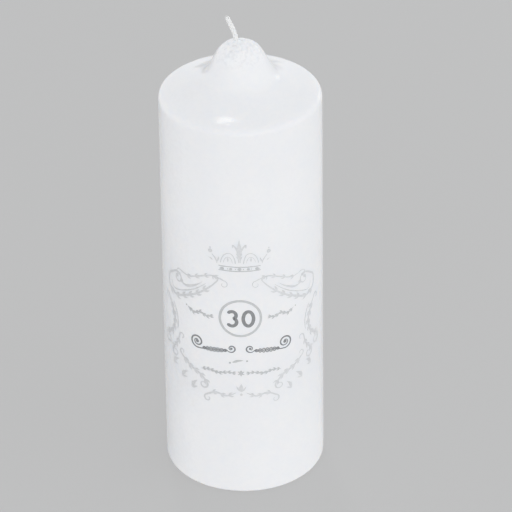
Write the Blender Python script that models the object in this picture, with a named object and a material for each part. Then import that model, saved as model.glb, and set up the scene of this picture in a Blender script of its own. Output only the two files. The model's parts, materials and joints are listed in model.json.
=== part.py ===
"""Unity candle: a tapered wax pillar with a rounded nub, a bent wick and a transfer print on its front.

Metres, +Z up. The origin is the centre of the foot, and the print faces -Y. The print is drawn unrolled, in
millimetres: across (along the wall, plus to the right, zero on the -Y line) and height above the foot.
"""
import math

import bmesh
import bpy
from mathutils import Vector

MM = 0.001

# Wax body
WALL_RADIUS = 38.1 * MM         # half-way up the wall
WALL_TAPER = 0.02               # share of the radius that is lost from the foot to the shoulder
NOMINAL_WALL_HEIGHT = 203.2 * MM
WALL_TOP = 197.6 * MM           # the straight wall ends here and the shoulder begins
FOOT_ROUND = 2.2 * MM
DOME_RADIUS = 19.0 * MM         # where the shoulder's dome turns up into the nub
DOME_HEIGHT = 207.9 * MM
DOME_SLOPE = math.radians(31.0)
NUB_TOP = 227.1 * MM
SHOULDER_HANDLE = 5.6 * MM      # Bezier handle lengths of the shoulder and the nub
DOME_HANDLE = 14.0 * MM
NUB_FOOT_HANDLE = 8.4 * MM
NUB_TOP_HANDLE = 13.0 * MM
COAT_THICKNESS = 2.2 * MM
GAP = 0.3 * MM                  # between neighbouring pieces
BODY_SEGMENTS = 40

# Wick and clip
WICK_RADIUS = 1.15 * MM
WICK_SHIFT = -1.9 * MM          # the wick leaves the nub this far from its middle
WICK_FOOT = 0.9 * MM
WICK_PIVOT_RISE = 1.7 * MM      # the free end bends about this point over the nub
WICK_FREE_LENGTH = 12.2 * MM    # from the bending point to the tip
WICK_LEAN_FOOT = math.radians(13.0)
WICK_LEAN_TIP = math.radians(25.0)
WICK_SEGMENTS = 12
CHANNEL_RADIUS = WICK_RADIUS + GAP
CLIP_RADIUS = 10.0 * MM
CLIP_SHEET = 0.4 * MM
CLIP_FOOT = 0.35 * MM
CLIP_NECK_RADIUS = 1.9 * MM
CLIP_NECK_TOP = 6.6 * MM
RECESS_RADIUS = CLIP_RADIUS + 2.0 * GAP
RECESS_DEPTH = CLIP_FOOT + CLIP_SHEET + GAP
NECK_POCKET_RADIUS = CLIP_NECK_RADIUS + GAP
NECK_POCKET_TOP = CLIP_NECK_TOP + GAP

# Print
PRINT_CENTRE = -1.3             # millimetres across
INK_LIFT = 0.05 * MM            # from the wall to the underside of the ink
INK_THICKNESS = 0.15 * MM
PEN_END = 0.25                  # a pen line narrows to this share of its width at both ends


def clear_scene():
    for old in list(bpy.data.objects):
        bpy.data.objects.remove(old, do_unlink=True)


def make_material(name, colour, roughness, metallic=0.0):
    material = bpy.data.materials.new(name)
    material.use_nodes = True
    shader = material.node_tree.nodes["Principled BSDF"]
    shader.inputs["Base Color"].default_value = (*colour, 1.0)
    shader.inputs["Roughness"].default_value = roughness
    shader.inputs["Metallic"].default_value = metallic
    material.diffuse_color = (*colour, 1.0)
    return material


def add_object(name, points, faces, origin, material, smooth_angle=35.0):
    """One named object with its origin at `origin`; `points` are world positions."""
    mesh = bpy.data.meshes.new(name)
    mesh.from_pydata([tuple(Vector(p) - origin) for p in points], [], faces)
    builder = bmesh.new()
    builder.from_mesh(mesh)
    bmesh.ops.recalc_face_normals(builder, faces=builder.faces)
    builder.to_mesh(mesh)
    builder.free()
    mesh.materials.append(material)
    mesh.shade_smooth()
    mesh.set_sharp_from_angle(angle=math.radians(smooth_angle))
    piece = bpy.data.objects.new(name, mesh)
    piece.location = origin
    bpy.context.scene.collection.objects.link(piece)
    return piece


# ---------------------------------------------------------------- curves in a plane

def bezier(start, handle_a, handle_b, end, steps):
    """Points of a cubic Bezier curve, both ends included."""
    points = []
    for i in range(steps + 1):
        t = i / steps
        weights = ((1 - t) ** 3, 3 * t * (1 - t) ** 2, 3 * t * t * (1 - t), t ** 3)
        corners = (start, handle_a, handle_b, end)
        points.append(tuple(sum(w * c[k] for w, c in zip(weights, corners)) for k in (0, 1)))
    return points


def arc(centre, radius_x, radius_z, start_deg, end_deg, steps):
    """Points along an elliptical arc, both ends included."""
    points = []
    for i in range(steps + 1):
        angle = math.radians(start_deg + (end_deg - start_deg) * i / steps)
        points.append((centre[0] + radius_x * math.cos(angle), centre[1] + radius_z * math.sin(angle)))
    return points


def spiral(centre, start_radius, end_radius, start_deg, end_deg, steps):
    """Points along a spiral whose radius changes evenly with its angle, both ends included."""
    points = []
    for i in range(steps + 1):
        t = i / steps
        angle = math.radians(start_deg + (end_deg - start_deg) * t)
        radius = start_radius + (end_radius - start_radius) * t
        points.append((centre[0] + radius * math.cos(angle), centre[1] + radius * math.sin(angle)))
    return points


def spline(knots, steps):
    """A smooth (Catmull-Rom) line through all the knots, with `steps` spans between two of them."""
    padded = [knots[0], *knots, knots[-1]]
    points = []
    for a, b, c, d in zip(padded, padded[1:], padded[2:], padded[3:]):
        for i in range(steps):
            t = i / steps
            points.append(tuple(
                0.5 * (2 * b[k] + (c[k] - a[k]) * t + (2 * a[k] - 5 * b[k] + 4 * c[k] - d[k]) * t * t
                       + (3 * b[k] - a[k] - 3 * c[k] + d[k]) * t ** 3)
                for k in (0, 1)))
    points.append(knots[-1])
    return points


def mirrored(path):
    """The same line on the other side of the print's middle."""
    return [(2 * PRINT_CENTRE - across, height) for across, height in path]


# ---------------------------------------------------------------- wax body

def wall_radius(height):
    return WALL_RADIUS * (1.0 + WALL_TAPER * (0.5 - height / NOMINAL_WALL_HEIGHT))


def outer_profile(steps):
    """Radius and height of the candle's outside, from the edge of the foot face up to the nub's middle."""
    foot = wall_radius(0.0)
    points = arc((foot - FOOT_ROUND, FOOT_ROUND), FOOT_ROUND, FOOT_ROUND, -90, 0, 3)
    shoulder = (wall_radius(WALL_TOP), WALL_TOP)
    dome = (DOME_RADIUS, DOME_HEIGHT)
    slope = (math.cos(DOME_SLOPE), math.sin(DOME_SLOPE))
    points += bezier(
        shoulder,
        (shoulder[0], WALL_TOP + SHOULDER_HANDLE),
        (dome[0] + DOME_HANDLE * slope[0], dome[1] - DOME_HANDLE * slope[1]),
        dome, steps)
    points += bezier(
        dome,
        (dome[0] - NUB_FOOT_HANDLE * slope[0], dome[1] + NUB_FOOT_HANDLE * slope[1]),
        (NUB_TOP_HANDLE, NUB_TOP),
        (0.0, NUB_TOP), 2 * steps)[1:]
    return points


def inset_profile(distance, steps):
    """The outer profile moved inwards along its normals, from a flat foot up to the nub's middle."""
    outline = outer_profile(steps)[3:]
    points = [(wall_radius(0.0) - distance, 0.0)]
    for i, (radius, height) in enumerate(outline):
        before = outline[max(i - 1, 0)]
        after = outline[min(i + 1, len(outline) - 1)]
        along = Vector((after[0] - before[0], after[1] - before[1])).normalized()
        moved = (radius - distance * along[1], height + distance * along[0])
        if moved[0] > 0.0 and moved[1] > points[-1][1] - distance:
            points.append(moved)
    return points


def wick_line(height):
    """How far the wick's middle is from the candle's axis at a height."""
    return WICK_SHIFT * height / NUB_TOP


def ring_body(name, rings, segments, material):
    """A turned body with a hole through it: each ring is (middle x, radius, height), the last joins the first."""
    points = []
    for middle, radius, height in rings:
        for i in range(segments):
            angle = 2 * math.pi * i / segments
            points.append((middle + radius * math.cos(angle), radius * math.sin(angle), height))
    faces = []
    for row in range(len(rings)):
        upper = (row + 1) % len(rings)
        for i in range(segments):
            j = (i + 1) % segments
            faces.append((row * segments + i, row * segments + j, upper * segments + j, upper * segments + i))
    return add_object(name, points, faces, Vector((0.0, 0.0, 0.0)), material)


def channel_rings(profile, first_height):
    """Profile rings that stay clear of the wick's channel, and the channel's own rings down to a height."""
    room = CHANNEL_RADIUS + abs(WICK_SHIFT) + GAP
    rings = [(0.0, radius, height) for radius, height in profile if radius > room]
    top = profile[-1][1]
    rings.append((wick_line(top), CHANNEL_RADIUS, top))
    rings.append((wick_line(first_height), CHANNEL_RADIUS, first_height))
    return rings


def build_overdip_shell(material):
    """The dipped coat: an upturned cup, open at the foot, with the wick's hole through its nub."""
    outside = channel_rings(outer_profile(6), NUB_TOP)[:-1]
    inside = channel_rings(inset_profile(COAT_THICKNESS, 5), NUB_TOP)[:-1]
    return ring_body("overdip_shell", outside + inside[::-1], BODY_SEGMENTS, material)


def build_wax_core(material):
    """The pressed core, with the wick's channel, and the clip's recess and neck pocket at the foot."""
    profile = inset_profile(COAT_THICKNESS + GAP, 5)
    rings = channel_rings(profile, NECK_POCKET_TOP)
    rings.append((wick_line(NECK_POCKET_TOP), NECK_POCKET_RADIUS, NECK_POCKET_TOP))
    rings.append((0.0, NECK_POCKET_RADIUS, RECESS_DEPTH))
    rings.append((0.0, RECESS_RADIUS, RECESS_DEPTH))
    rings.append((0.0, RECESS_RADIUS, 0.0))
    return ring_body("wax_core", rings, BODY_SEGMENTS, material)


def build_wick_clip(material):
    """Stamped steel plate with a drawn neck that grips the wick's foot."""
    plate_top = CLIP_FOOT + CLIP_SHEET
    bore = CLIP_NECK_RADIUS - CLIP_SHEET
    rings = [
        (0.0, bore, CLIP_FOOT),
        (0.0, CLIP_RADIUS, CLIP_FOOT),
        (0.0, CLIP_RADIUS, plate_top),
        (0.0, CLIP_NECK_RADIUS + 0.4 * MM, plate_top),
        (0.0, CLIP_NECK_RADIUS, plate_top + 0.4 * MM),
        (0.0, CLIP_NECK_RADIUS, CLIP_NECK_TOP),
        (0.0, bore, CLIP_NECK_TOP),
    ]
    return ring_body("wick_clip", rings, 24, material)


# ---------------------------------------------------------------- wick

def tube(name, spine, origin, material):
    """A closed round rod; the spine is (middle, direction, radius), and its first and last rings are capped."""
    points = []
    for middle, direction, radius in spine:
        side = Vector((0.0, 1.0, 0.0))
        up = side.cross(direction).normalized()
        for i in range(WICK_SEGMENTS):
            angle = 2 * math.pi * i / WICK_SEGMENTS
            points.append(middle + radius * (math.cos(angle) * up + math.sin(angle) * side))
    faces = [tuple(range(WICK_SEGMENTS))[::-1]]
    for row in range(len(spine) - 1):
        for i in range(WICK_SEGMENTS):
            j = (i + 1) % WICK_SEGMENTS
            low, high = row * WICK_SEGMENTS, (row + 1) * WICK_SEGMENTS
            faces.append((low + i, low + j, high + j, high + i))
    last = (len(spine) - 1) * WICK_SEGMENTS
    faces.append(tuple(range(last, last + WICK_SEGMENTS)))
    return add_object(name, points, faces, origin, material)


def wick_pivot():
    return Vector((WICK_SHIFT, 0.0, NUB_TOP + WICK_PIVOT_RISE))


def build_wick(material):
    """The length inside the wax, from the clip's neck to just under the bending point."""
    up = Vector((0.0, 0.0, 1.0))
    top = wick_pivot().z - WICK_RADIUS - GAP
    spine = [
        (Vector((wick_line(WICK_FOOT), 0.0, WICK_FOOT)), up, WICK_RADIUS),
        (Vector((wick_line(top), 0.0, top)), up, WICK_RADIUS),
    ]
    return tube("wick", spine, Vector((0.0, 0.0, 0.0)), material)


def build_wick_end(material):
    """The free end: a round foot about the bending point, then a rod that curves towards -X."""
    pivot = wick_pivot()
    start = Vector((-math.sin(WICK_LEAN_FOOT), 0.0, math.cos(WICK_LEAN_FOOT)))
    spine = []
    for angle_deg in (-80, -55, -30):
        angle = math.radians(angle_deg)
        spine.append((pivot + WICK_RADIUS * math.sin(angle) * start, start, WICK_RADIUS * math.cos(angle)))
    middle = pivot.copy()
    spine.append((middle.copy(), start, WICK_RADIUS))
    steps = 8
    for i in range(1, steps + 1):
        lean = WICK_LEAN_FOOT + (WICK_LEAN_TIP - WICK_LEAN_FOOT) * (i - 0.5) / steps
        direction = Vector((-math.sin(lean), 0.0, math.cos(lean)))
        middle += direction * (WICK_FREE_LENGTH / steps)
        spine.append((middle.copy(), direction, WICK_RADIUS))
    tip = spine[-1][1]
    spine.append((middle + 0.35 * MM * tip, tip, 0.7 * WICK_RADIUS))
    return tube("wick_end", spine, pivot, material)


# ---------------------------------------------------------------- print

def on_wall(across, height, lift):
    """Wraps a point of the unrolled print (millimetres) round the wall, `lift` outside it."""
    angle = across * MM / WALL_RADIUS
    radius = wall_radius(height * MM) + lift
    return Vector((radius * math.sin(angle), -radius * math.cos(angle), height * MM))


def even_line(t):
    return 1.0


def pen_line(t):
    """Full width in the middle, narrow at both ends."""
    return PEN_END + (1.0 - PEN_END) * math.sin(math.pi * t) ** 0.6


def leaf_line(t):
    """A leaf: widest a third of the way along."""
    return 0.12 + 0.88 * math.sin(math.pi * t ** 0.75)


def edges_of(path, width, shape, closed):
    """Left and right edge points of a drawn line."""
    left, right = [], []
    count = len(path)
    for i, (across, height) in enumerate(path):
        before = path[(i - 1) % count] if closed else path[max(i - 1, 0)]
        after = path[(i + 1) % count] if closed else path[min(i + 1, count - 1)]
        along = Vector((after[0] - before[0], after[1] - before[1])).normalized()
        half = 0.5 * width * shape(i / (count - 1))
        left.append((across - half * along[1], height + half * along[0]))
        right.append((across + half * along[1], height - half * along[0]))
    return left, right


def add_line(name, path, width, shape, material, closed=False):
    """A line of ink: a thin closed strip that follows the wall."""
    left, right = edges_of(path, width, shape, closed)
    points = []
    for a, b in zip(left, right):
        points.append(on_wall(*a, INK_LIFT))
        points.append(on_wall(*b, INK_LIFT))
        points.append(on_wall(*b, INK_LIFT + INK_THICKNESS))
        points.append(on_wall(*a, INK_LIFT + INK_THICKNESS))
    count = len(path)
    faces = []
    for row in range(count if closed else count - 1):
        this, following = 4 * row, 4 * ((row + 1) % count)
        for i in range(4):
            j = (i + 1) % 4
            faces.append((this + i, this + j, following + j, following + i))
    if not closed:
        last = 4 * (count - 1)
        faces.append((0, 3, 2, 1))
        faces.append((last, last + 1, last + 2, last + 3))
    middle = path[count // 2]
    return add_object(name, points, faces, on_wall(*middle, INK_LIFT), material)


def add_dot(name, centre, radius, material):
    """A round spot of ink."""
    sides = 12
    rim = arc(centre, radius, radius, 0, 360, sides)[:-1]
    points = [on_wall(*p, INK_LIFT) for p in rim]
    points += [on_wall(*p, INK_LIFT + INK_THICKNESS) for p in rim]
    points.append(on_wall(*centre, INK_LIFT))
    points.append(on_wall(*centre, INK_LIFT + INK_THICKNESS))
    faces = []
    for i in range(sides):
        j = (i + 1) % sides
        faces.append((i, j, sides + j, sides + i))
        faces.append((j, i, 2 * sides))
        faces.append((sides + i, sides + j, 2 * sides + 1))
    return add_object(name, points, faces, on_wall(*centre, INK_LIFT), material)


def add_pair(name, path, width, shape, material):
    """The same line on both sides of the print's middle."""
    add_line(name + "_left", path, width, shape, material)
    add_line(name + "_right", mirrored(path), width, shape, material)


def build_number(ink):
    """The ring with the two digits of the number 30."""
    ring = arc((PRINT_CENTRE, 100.5), 9.7, 9.7, 0, 360, 40)[:-1]
    add_line("number_ring", ring, 1.2, even_line, ink, closed=True)
    three = arc((-5.2, 102.2), 1.95, 1.95, 150, -42, 7)
    three.append((-4.55, 100.45))
    three += arc((-5.2, 98.5), 2.1, 2.15, 48, -150, 8)
    add_line("digit_three", three, 1.6, even_line, ink)
    zero = arc((2.5, 100.25), 2.35, 3.9, 0, 360, 20)[:-1]
    add_line("digit_zero", zero, 1.6, even_line, ink, closed=True)


def build_flourishes(ink):
    """The two broad scroll lines under the ring: a large volute, a wave, and a small volute near the middle."""
    large, small = (-23.2, 84.2), (-6.4, 84.4)
    line = spiral(large, 1.1, 3.5, -270, 270, 24)[:-1]
    line += spline([(-23.2, 80.7), (-19.4, 81.3), (-16.0, 82.7), (-12.6, 81.7), (-9.4, 82.6), (-6.4, 82.1)], 3)[:-1]
    line += spiral(small, 2.3, 0.9, 270, 640, 16)
    add_pair("flourish", line, 1.0, pen_line, ink)


def build_small_lines(ink):
    """Thin wordless lines: beside the ring, under the names, and the garland below."""
    beside = spline([(-28.2, 101.6), (-24.6, 99.6), (-21.0, 101.0), (-17.6, 99.7), (-14.2, 100.6)], 4)
    add_pair("side_line", beside, 0.8, pen_line, ink)
    add_line("centre_mark", spline([(-5.4, 75.7), (-2.6, 76.8), (0.4, 76.9)], 4), 1.0, leaf_line, ink)
    garland = spline([(-21.0, 69.3), (-16.5, 70.1), (-12.0, 69.1), (-7.5, 70.1), (-3.6, 69.5)], 4)
    add_pair("garland", garland, 0.9, pen_line, ink)
    add_dot("garland_bud", (PRINT_CENTRE, 69.7), 1.3, ink)


def build_crown(ink):
    """A small open crown over the number: band, arches, centre leaf and two pearls."""
    add_line("crown_band", [(PRINT_CENTRE + 10.0 * i / 4, 128.0) for i in range(-4, 5)], 2.4, even_line, ink)
    leaf = [(PRINT_CENTRE, 133.0 + 11.0 * i / 8) for i in range(9)]
    add_line("crown_leaf", leaf, 3.2, leaf_line, ink)
    arch = bezier((-3.2, 130.6), (-3.6, 138.4), (-9.6, 136.6), (-10.2, 130.8), 8)
    add_pair("crown_arch", arch, 0.7, even_line, ink)
    horn = bezier((-12.0, 130.2), (-12.4, 132.2), (-13.2, 133.6), (-14.6, 134.6), 5)
    add_pair("crown_horn", horn, 0.7, pen_line, ink)
    pearl = (-15.2, 136.4)
    add_dot("crown_pearl_left", pearl, 1.1, ink)
    add_dot("crown_pearl_right", mirrored([pearl])[0], 1.1, ink)


def build_frame(ink):
    """The scrolled frame round the print, drawn once and mirrored."""
    corner = spline([(-34.2, 112.2), (-33.0, 115.4), (-37.2, 117.0), (-42.4, 113.0), (-42.4, 107.2), (-37.0, 104.2),
                     (-29.6, 107.0), (-22.0, 111.2), (-15.6, 116.4), (-12.0, 120.4)], 4)
    add_pair("frame_corner", corner, 0.9, pen_line, ink)
    crest = spline([(-33.4, 119.6), (-27.4, 118.6), (-21.0, 120.8), (-14.4, 122.8), (-8.4, 120.8)], 4)
    add_pair("frame_crest", crest, 0.8, pen_line, ink)
    side = spline([(-43.4, 100.6), (-40.0, 95.2), (-38.2, 88.4), (-40.6, 82.0), (-45.8, 78.6), (-47.4, 74.4),
                   (-43.6, 72.6)], 4)
    add_pair("frame_side", side, 0.9, pen_line, ink)
    volute = spline([(-34.6, 82.8), (-36.4, 77.2), (-40.4, 73.4), (-39.4, 69.6), (-35.0, 70.6)], 4)
    add_pair("frame_volute", volute, 0.8, pen_line, ink)
    sweep = spline([(-33.6, 72.4), (-27.8, 68.4), (-22.0, 66.0), (-18.2, 62.2), (-20.4, 59.4)], 4)
    add_pair("frame_sweep", sweep, 0.9, pen_line, ink)
    for name, root, tip in (
            ("frame_leaf_outer", (-40.2, 64.2), (-35.6, 68.2)),
            ("frame_leaf_middle", (-33.4, 59.8), (-29.0, 64.4)),
            ("frame_leaf_inner", (-26.6, 56.2), (-23.6, 61.4))):
        leaf = [tuple(a + (b - a) * i / 6 for a, b in zip(root, tip)) for i in range(7)]
        add_pair(name, leaf, 1.8, leaf_line, ink)
    foot = spline([(-18.6, 55.2), (-13.6, 57.6), (-8.4, 56.4), (-3.6, 58.6)], 4)
    add_pair("frame_foot", foot, 0.9, pen_line, ink)
    finial = [(PRINT_CENTRE, 59.0 + 5.0 * i / 6) for i in range(7)]
    add_line("frame_finial", finial, 2.2, leaf_line, ink)


def build():
    clear_scene()
    build_overdip_shell(make_material("coat_wax", (0.90, 0.90, 0.91), 0.28))
    build_wax_core(make_material("core_wax", (0.88, 0.87, 0.83), 0.6))
    build_wick_clip(make_material("clip_steel", (0.62, 0.62, 0.63), 0.35, metallic=1.0))
    cotton = make_material("cotton", (0.88, 0.87, 0.84), 0.9)
    build_wick(cotton)
    build_wick_end(cotton)
    dark_ink = make_material("dark_ink", (0.16, 0.16, 0.17), 0.55)
    build_number(dark_ink)
    build_flourishes(dark_ink)
    pale_ink = make_material("pale_ink", (0.38, 0.38, 0.40), 0.55)
    build_small_lines(pale_ink)
    build_crown(pale_ink)
    build_frame(pale_ink)


build()
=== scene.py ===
"""Looks of the unity candle: dipped wax, braided wick and the transfer print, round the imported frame.

Metres, +Z up, print towards -Y. The print is drawn unrolled in design millimetres: across (along the wall,
plus to the right) and height above the foot. The design millimetre is taken from the frame.
"""
import json
import math
import random

import bmesh
import bpy
import numpy as np
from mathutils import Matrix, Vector, noise


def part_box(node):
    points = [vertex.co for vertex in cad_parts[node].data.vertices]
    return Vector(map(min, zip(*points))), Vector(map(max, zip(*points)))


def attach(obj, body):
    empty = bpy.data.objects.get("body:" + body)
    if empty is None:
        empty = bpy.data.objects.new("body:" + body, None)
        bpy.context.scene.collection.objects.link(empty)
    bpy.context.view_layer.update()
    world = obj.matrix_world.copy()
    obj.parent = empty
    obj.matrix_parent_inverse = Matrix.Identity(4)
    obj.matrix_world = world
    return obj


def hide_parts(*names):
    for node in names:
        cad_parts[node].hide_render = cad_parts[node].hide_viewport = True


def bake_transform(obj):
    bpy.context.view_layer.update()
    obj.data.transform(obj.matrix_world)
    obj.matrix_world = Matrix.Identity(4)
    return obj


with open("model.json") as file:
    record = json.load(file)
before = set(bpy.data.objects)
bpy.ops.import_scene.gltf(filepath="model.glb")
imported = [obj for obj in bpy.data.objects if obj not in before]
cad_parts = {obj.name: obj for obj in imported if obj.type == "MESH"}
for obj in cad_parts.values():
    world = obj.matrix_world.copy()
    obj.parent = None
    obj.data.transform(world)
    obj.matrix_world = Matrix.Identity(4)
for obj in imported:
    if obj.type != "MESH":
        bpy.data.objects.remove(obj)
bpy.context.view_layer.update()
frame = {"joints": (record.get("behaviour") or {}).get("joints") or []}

# -------------------- sizes from the frame

SHELL_LOW, SHELL_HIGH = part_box("overdip_shell")
CLIP_LOW, CLIP_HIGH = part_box("wick_clip")
WICK_LOW, WICK_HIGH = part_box("wick")
RING_LOW, RING_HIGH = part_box("number_ring")
PIVOT = Vector(frame["joints"][0]["pos_m"])

NUB_TOP = SHELL_HIGH.z
NOMINAL_NUB_TOP = 227.1             # the nub's height in design millimetres
MM = NUB_TOP / NOMINAL_NUB_TOP      # one design millimetre
WALL_TAPER = 0.02                   # share of the radius lost from the foot to the shoulder
WALL_RADIUS = SHELL_HIGH.x / (1.0 + 0.5 * WALL_TAPER)
NOMINAL_WALL_HEIGHT = 203.2 * MM
WALL_TOP = 197.6 * MM               # the straight wall ends here and the shoulder begins
FOOT_ROUND = 2.2 * MM
DOME_RADIUS, DOME_HEIGHT = 19.0 * MM, 207.9 * MM    # where the dome turns up into the nub
DOME_SLOPE = math.radians(31.0)
SHOULDER_HANDLE, DOME_HANDLE = 5.6 * MM, 14.0 * MM  # Bezier handle lengths
NUB_FOOT_HANDLE, NUB_TOP_HANDLE = 8.4 * MM, 13.0 * MM
COAT_THICKNESS = 2.2 * MM
CORE_GAP = 0.3 * MM
INNER_TOP_RADIUS = 4.0 * MM         # inner outlines stop here and run straight up to the wick
NUB_CAP = 9.0 * MM                  # inside this radius the rings drift over to the wick
NUB_LEAN = 0.15 * MM                # the nub set a little to the right of the axis
WICK_RADIUS = 1.15 * MM
WICK_X = PIVOT.x + 0.35 * MM        # the braid leaves the wax a little beside the CAD's straight wick line
WICK_HOLE = 0.95 * MM               # the wax grips the braid, so its hole is inside the braid's skin
COLLAR_RISE = 0.40 * MM             # wax drawn up round the wick's foot

PRINT_RADIUS = WALL_RADIUS          # arc lengths are measured at this radius
RING_ANGLE = 0.5 * (math.asin(RING_LOW.x / PRINT_RADIUS) + math.asin(RING_HIGH.x / PRINT_RADIUS))
PRINT_CENTRE = RING_ANGLE * PRINT_RADIUS / MM
RING_HEIGHT = 0.5 * (RING_LOW.z + RING_HIGH.z) / MM
INK_SUNK = 0.02 * MM                # underside of the ink, inside the wax skin
INK_PROUD = 0.04 * MM               # top of the ink, over the wax skin
INK_STEP = 0.0015 * MM              # lines that cross lie at slightly different heights
DOT_RISE = 0.004 * MM               # a dot is a little thicker in its middle
LINE_SPACING = 0.3                  # between points along a drawn line, in design millimetres
THINNEST_LINE = 0.03                # half width that no line goes under, in design millimetres


# -------------------- mesh helpers

def new_piece(name, points, faces, material, body, nodes=(), smooth_deg=40.0):
    """A mesh piece in the row frame that rides on a body and stands for CAD nodes."""
    mesh = bpy.data.meshes.new(name)
    mesh.from_pydata([tuple(p) for p in points], [], faces)
    builder = bmesh.new()
    builder.from_mesh(mesh)
    bmesh.ops.recalc_face_normals(builder, faces=builder.faces)
    builder.to_mesh(mesh)
    builder.free()
    mesh.shade_smooth()
    mesh.set_sharp_from_angle(angle=math.radians(smooth_deg))
    mesh.materials.append(material)
    piece = bpy.data.objects.new(name, mesh)
    bpy.context.scene.collection.objects.link(piece)
    if body:
        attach(piece, body)
    if nodes:
        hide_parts(*nodes)
    return piece


def ring_faces(rows, segments, closed):
    """Quads between rows of points; `closed` also joins the last row to the first."""
    faces = []
    for row in range(rows if closed else rows - 1):
        upper = (row + 1) % rows
        for i in range(segments):
            j = (i + 1) % segments
            low, high = row * segments, upper * segments
            faces.append((low + i, low + j, high + j, high + i))
    return faces


# -------------------- curves in a plane

def bezier(start, handle_a, handle_b, end, steps):
    points = []
    for i in range(steps + 1):
        t = i / steps
        weights = ((1 - t) ** 3, 3 * t * (1 - t) ** 2, 3 * t * t * (1 - t), t ** 3)
        corners = (start, handle_a, handle_b, end)
        points.append(tuple(sum(w * c[k] for w, c in zip(weights, corners)) for k in (0, 1)))
    return points


def arc(centre, radius_x, radius_z, start_deg, end_deg, steps=48):
    points = []
    for i in range(steps + 1):
        angle = math.radians(start_deg + (end_deg - start_deg) * i / steps)
        points.append((centre[0] + radius_x * math.cos(angle), centre[1] + radius_z * math.sin(angle)))
    return points


def spiral(centre, start_radius, end_radius, start_deg, end_deg, steps=64):
    points = []
    for i in range(steps + 1):
        t = i / steps
        angle = math.radians(start_deg + (end_deg - start_deg) * t)
        radius = start_radius + (end_radius - start_radius) * t
        points.append((centre[0] + radius * math.cos(angle), centre[1] + radius * math.sin(angle)))
    return points


def spline(knots, steps=12):
    """A smooth (Catmull-Rom) line through all the knots."""
    padded = [knots[0], *knots, knots[-1]]
    points = []
    for a, b, c, d in zip(padded, padded[1:], padded[2:], padded[3:]):
        for i in range(steps):
            t = i / steps
            points.append(tuple(
                0.5 * (2 * b[k] + (c[k] - a[k]) * t + (2 * a[k] - 5 * b[k] + 4 * c[k] - d[k]) * t * t
                       + (3 * b[k] - a[k] - 3 * c[k] + d[k]) * t ** 3)
                for k in (0, 1)))
    points.append(knots[-1])
    return points


def curl(path, first_radius, last_radius, turn_deg, side):
    """Lengthens a line by a volute that leaves its end smoothly; side +1 turns left, -1 turns right."""
    (ax, az), (bx, bz) = path[-2], path[-1]
    heading = math.atan2(bz - az, bx - ax)
    steps = 40
    turn = math.radians(turn_deg) / steps
    grown = list(path)
    for i in range(steps):
        radius = first_radius + (last_radius - first_radius) * (i + 0.5) / steps
        heading += 0.5 * side * turn
        bx += radius * turn * math.cos(heading)
        bz += radius * turn * math.sin(heading)
        heading += 0.5 * side * turn
        grown.append((bx, bz))
    return grown


def curl_start(path, first_radius, last_radius, turn_deg, side):
    return curl(path[::-1], first_radius, last_radius, turn_deg, side)[::-1]


def resampled(path, spacing):
    """The same line with evenly spaced points."""
    line = np.array(path, float)
    lengths = np.concatenate([[0.0], np.cumsum(np.hypot(*np.diff(line, axis=0).T))])
    count = max(3, int(round(lengths[-1] / spacing)) + 1)
    at = np.linspace(0.0, lengths[-1], count)
    return np.column_stack([np.interp(at, lengths, line[:, k]) for k in (0, 1)]), at


# -------------------- wax surface

def wall_radius(height):
    return WALL_RADIUS * (1.0 + WALL_TAPER * (0.5 - height / NOMINAL_WALL_HEIGHT))


def unevenness(x, y, z):
    """How far the dipped skin stands out of the turned shape: swells, runs that follow gravity, grain."""
    swell = noise.noise(Vector((x, y, 0.6 * z)) * 26.0, noise_basis="PERLIN_NEW") * 0.10
    runs = noise.noise(Vector((x, y, 0.12 * z)) * 95.0, noise_basis="PERLIN_NEW") * 0.035
    grain = noise.noise(Vector((x, y, z)) * 260.0, noise_basis="PERLIN_NEW") * 0.006
    return (swell + runs + grain) * MM


# Lumps of run wax on the top: x, y, height, width along x, width along y (all in mm), and turn in degrees.
LUMPS = (
    (-5.3, -34.2, 0.22, 1.7, 1.4, -20.0),
    (-0.2, -35.7, 0.20, 2.2, 1.0, -12.0),
    (-6.2, -2.9, 0.44, 1.1, 1.3, 0.0),
    (6.9, -2.2, 0.46, 0.8, 1.2, 12.0),
    (9.2, -3.2, 0.54, 0.8, 1.1, 30.0),
    (4.3, -5.6, 0.44, 1.0, 0.8, -20.0),
    (5.6, -4.0, -0.40, 0.8, 0.9, 0.0),
    (-3.4, -7.0, 0.40, 1.2, 0.8, 15.0),
    (1.4, -7.6, 0.40, 1.1, 0.8, -10.0),
    (-1.0, -4.2, -0.42, 1.6, 1.1, 10.0),
    (0.5, 6.2, -0.60, 4.5, 3.0, 0.0),
    (17.5, 19.0, 0.20, 3.0, 2.0, 45.0),
    (-21.0, 14.0, 0.18, 3.2, 2.2, -35.0),
)


def smooth(share):
    """Eases from 0 to 1 while the share runs from 0 to 1."""
    share = min(1.0, max(0.0, share))
    return share * share * (3.0 - 2.0 * share)


def lumps(x, y):
    """Extra height of the top where drips of the last dip set."""
    total = 0.0
    for across, deep, height, width_x, width_y, turn_deg in LUMPS:
        turn = math.radians(turn_deg)
        dx, dy = x / MM - across, y / MM - deep
        along = (dx * math.cos(turn) + dy * math.sin(turn)) / width_x
        aside = (dy * math.cos(turn) - dx * math.sin(turn)) / width_y
        total += height * math.exp(-0.5 * (along * along + aside * aside))
    return total * MM


def ripple(x, y, z):
    """Small bumps of wax that set while it ran off the nub; they die out on its flanks."""
    reach = smooth((12.0 * MM - math.hypot(x, y)) / (5.0 * MM))
    bumps = noise.noise(Vector((x, y, z)) * 520.0, noise_basis="PERLIN_NEW")
    return 0.15 * MM * reach * bumps


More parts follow.
